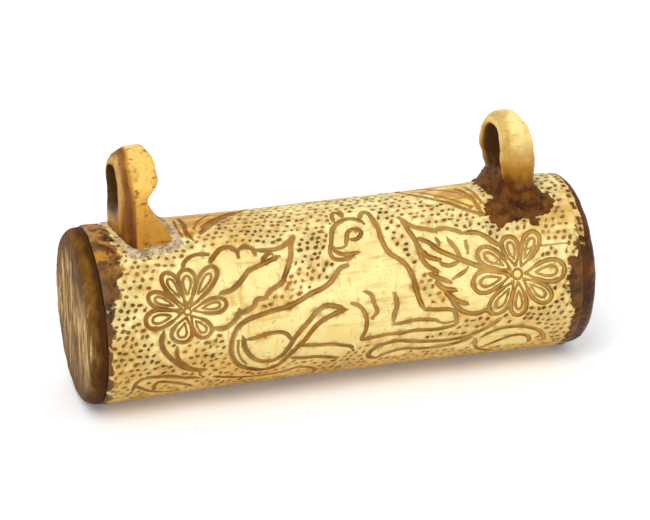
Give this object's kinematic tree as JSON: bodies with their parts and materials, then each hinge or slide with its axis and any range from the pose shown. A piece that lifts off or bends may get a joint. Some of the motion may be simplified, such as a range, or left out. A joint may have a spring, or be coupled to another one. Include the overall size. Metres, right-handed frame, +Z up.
{
  "type": "needle case",
  "caption": "Engraved bone tube needle case with two standing bone eyes for a cord, a glued end disc, a pull-off end stopper, a wool wad and loose sewing needles inside",
  "frame": {"origin": "on the surface the case rests on, under the middle of the case", "axes": "+X along the tube towards the stopper, -Y towards the side engraved with the animal, +Z up through the loops"},
  "size_m": [0.0816, 0.028, 0.0411],
  "materials": {
    "engraved_bone": "polished cream to golden bone with brown-stained engraving and punched dots",
    "end_bone": "taupe-brown cut bone with streaked grain and a dark rim",
    "stained_bone": "bone stained dark brown, waxy, with amber patches",
    "honey_bone": "honey-coloured bone with dark pores",
    "cream_bone": "smooth waxy cream bone, amber towards the base",
    "grey_filler": "speckled gritty grey filler",
    "dark_resin": "dark brown granular resin with small glints",
    "wool": "unspun off-white wool",
    "needle_steel": "polished steel"
  },
  "bodies": {
    "case": {"bone_tube": "engraved_bone", "left_end_disc": "end_bone", "left_loop": "honey_bone", "right_loop": "cream_bone", "left_loop_filler": "grey_filler", "right_loop_resin": "dark_resin", "needle_wad": "wool"},
    "stopper": {"right_stopper": "stained_bone"},
    "needles": {"needle_1": "needle_steel", "needle_2": "needle_steel", "needle_3": "needle_steel", "needle_4": "needle_steel", "needle_5": "needle_steel", "needle_6": "needle_steel", "needle_7": "needle_steel"}
  },
  "joints": [
    {"name": "stopper_pull", "type": "slide", "parent": "case", "child": "stopper", "axis": [1, 0, 0], "range_m": [0, 0.03]},
    {"name": "needles_slide", "type": "slide", "parent": "case", "child": "needles", "axis": [1, 0, 0], "range_m": [0, 0.005]}
  ]
}
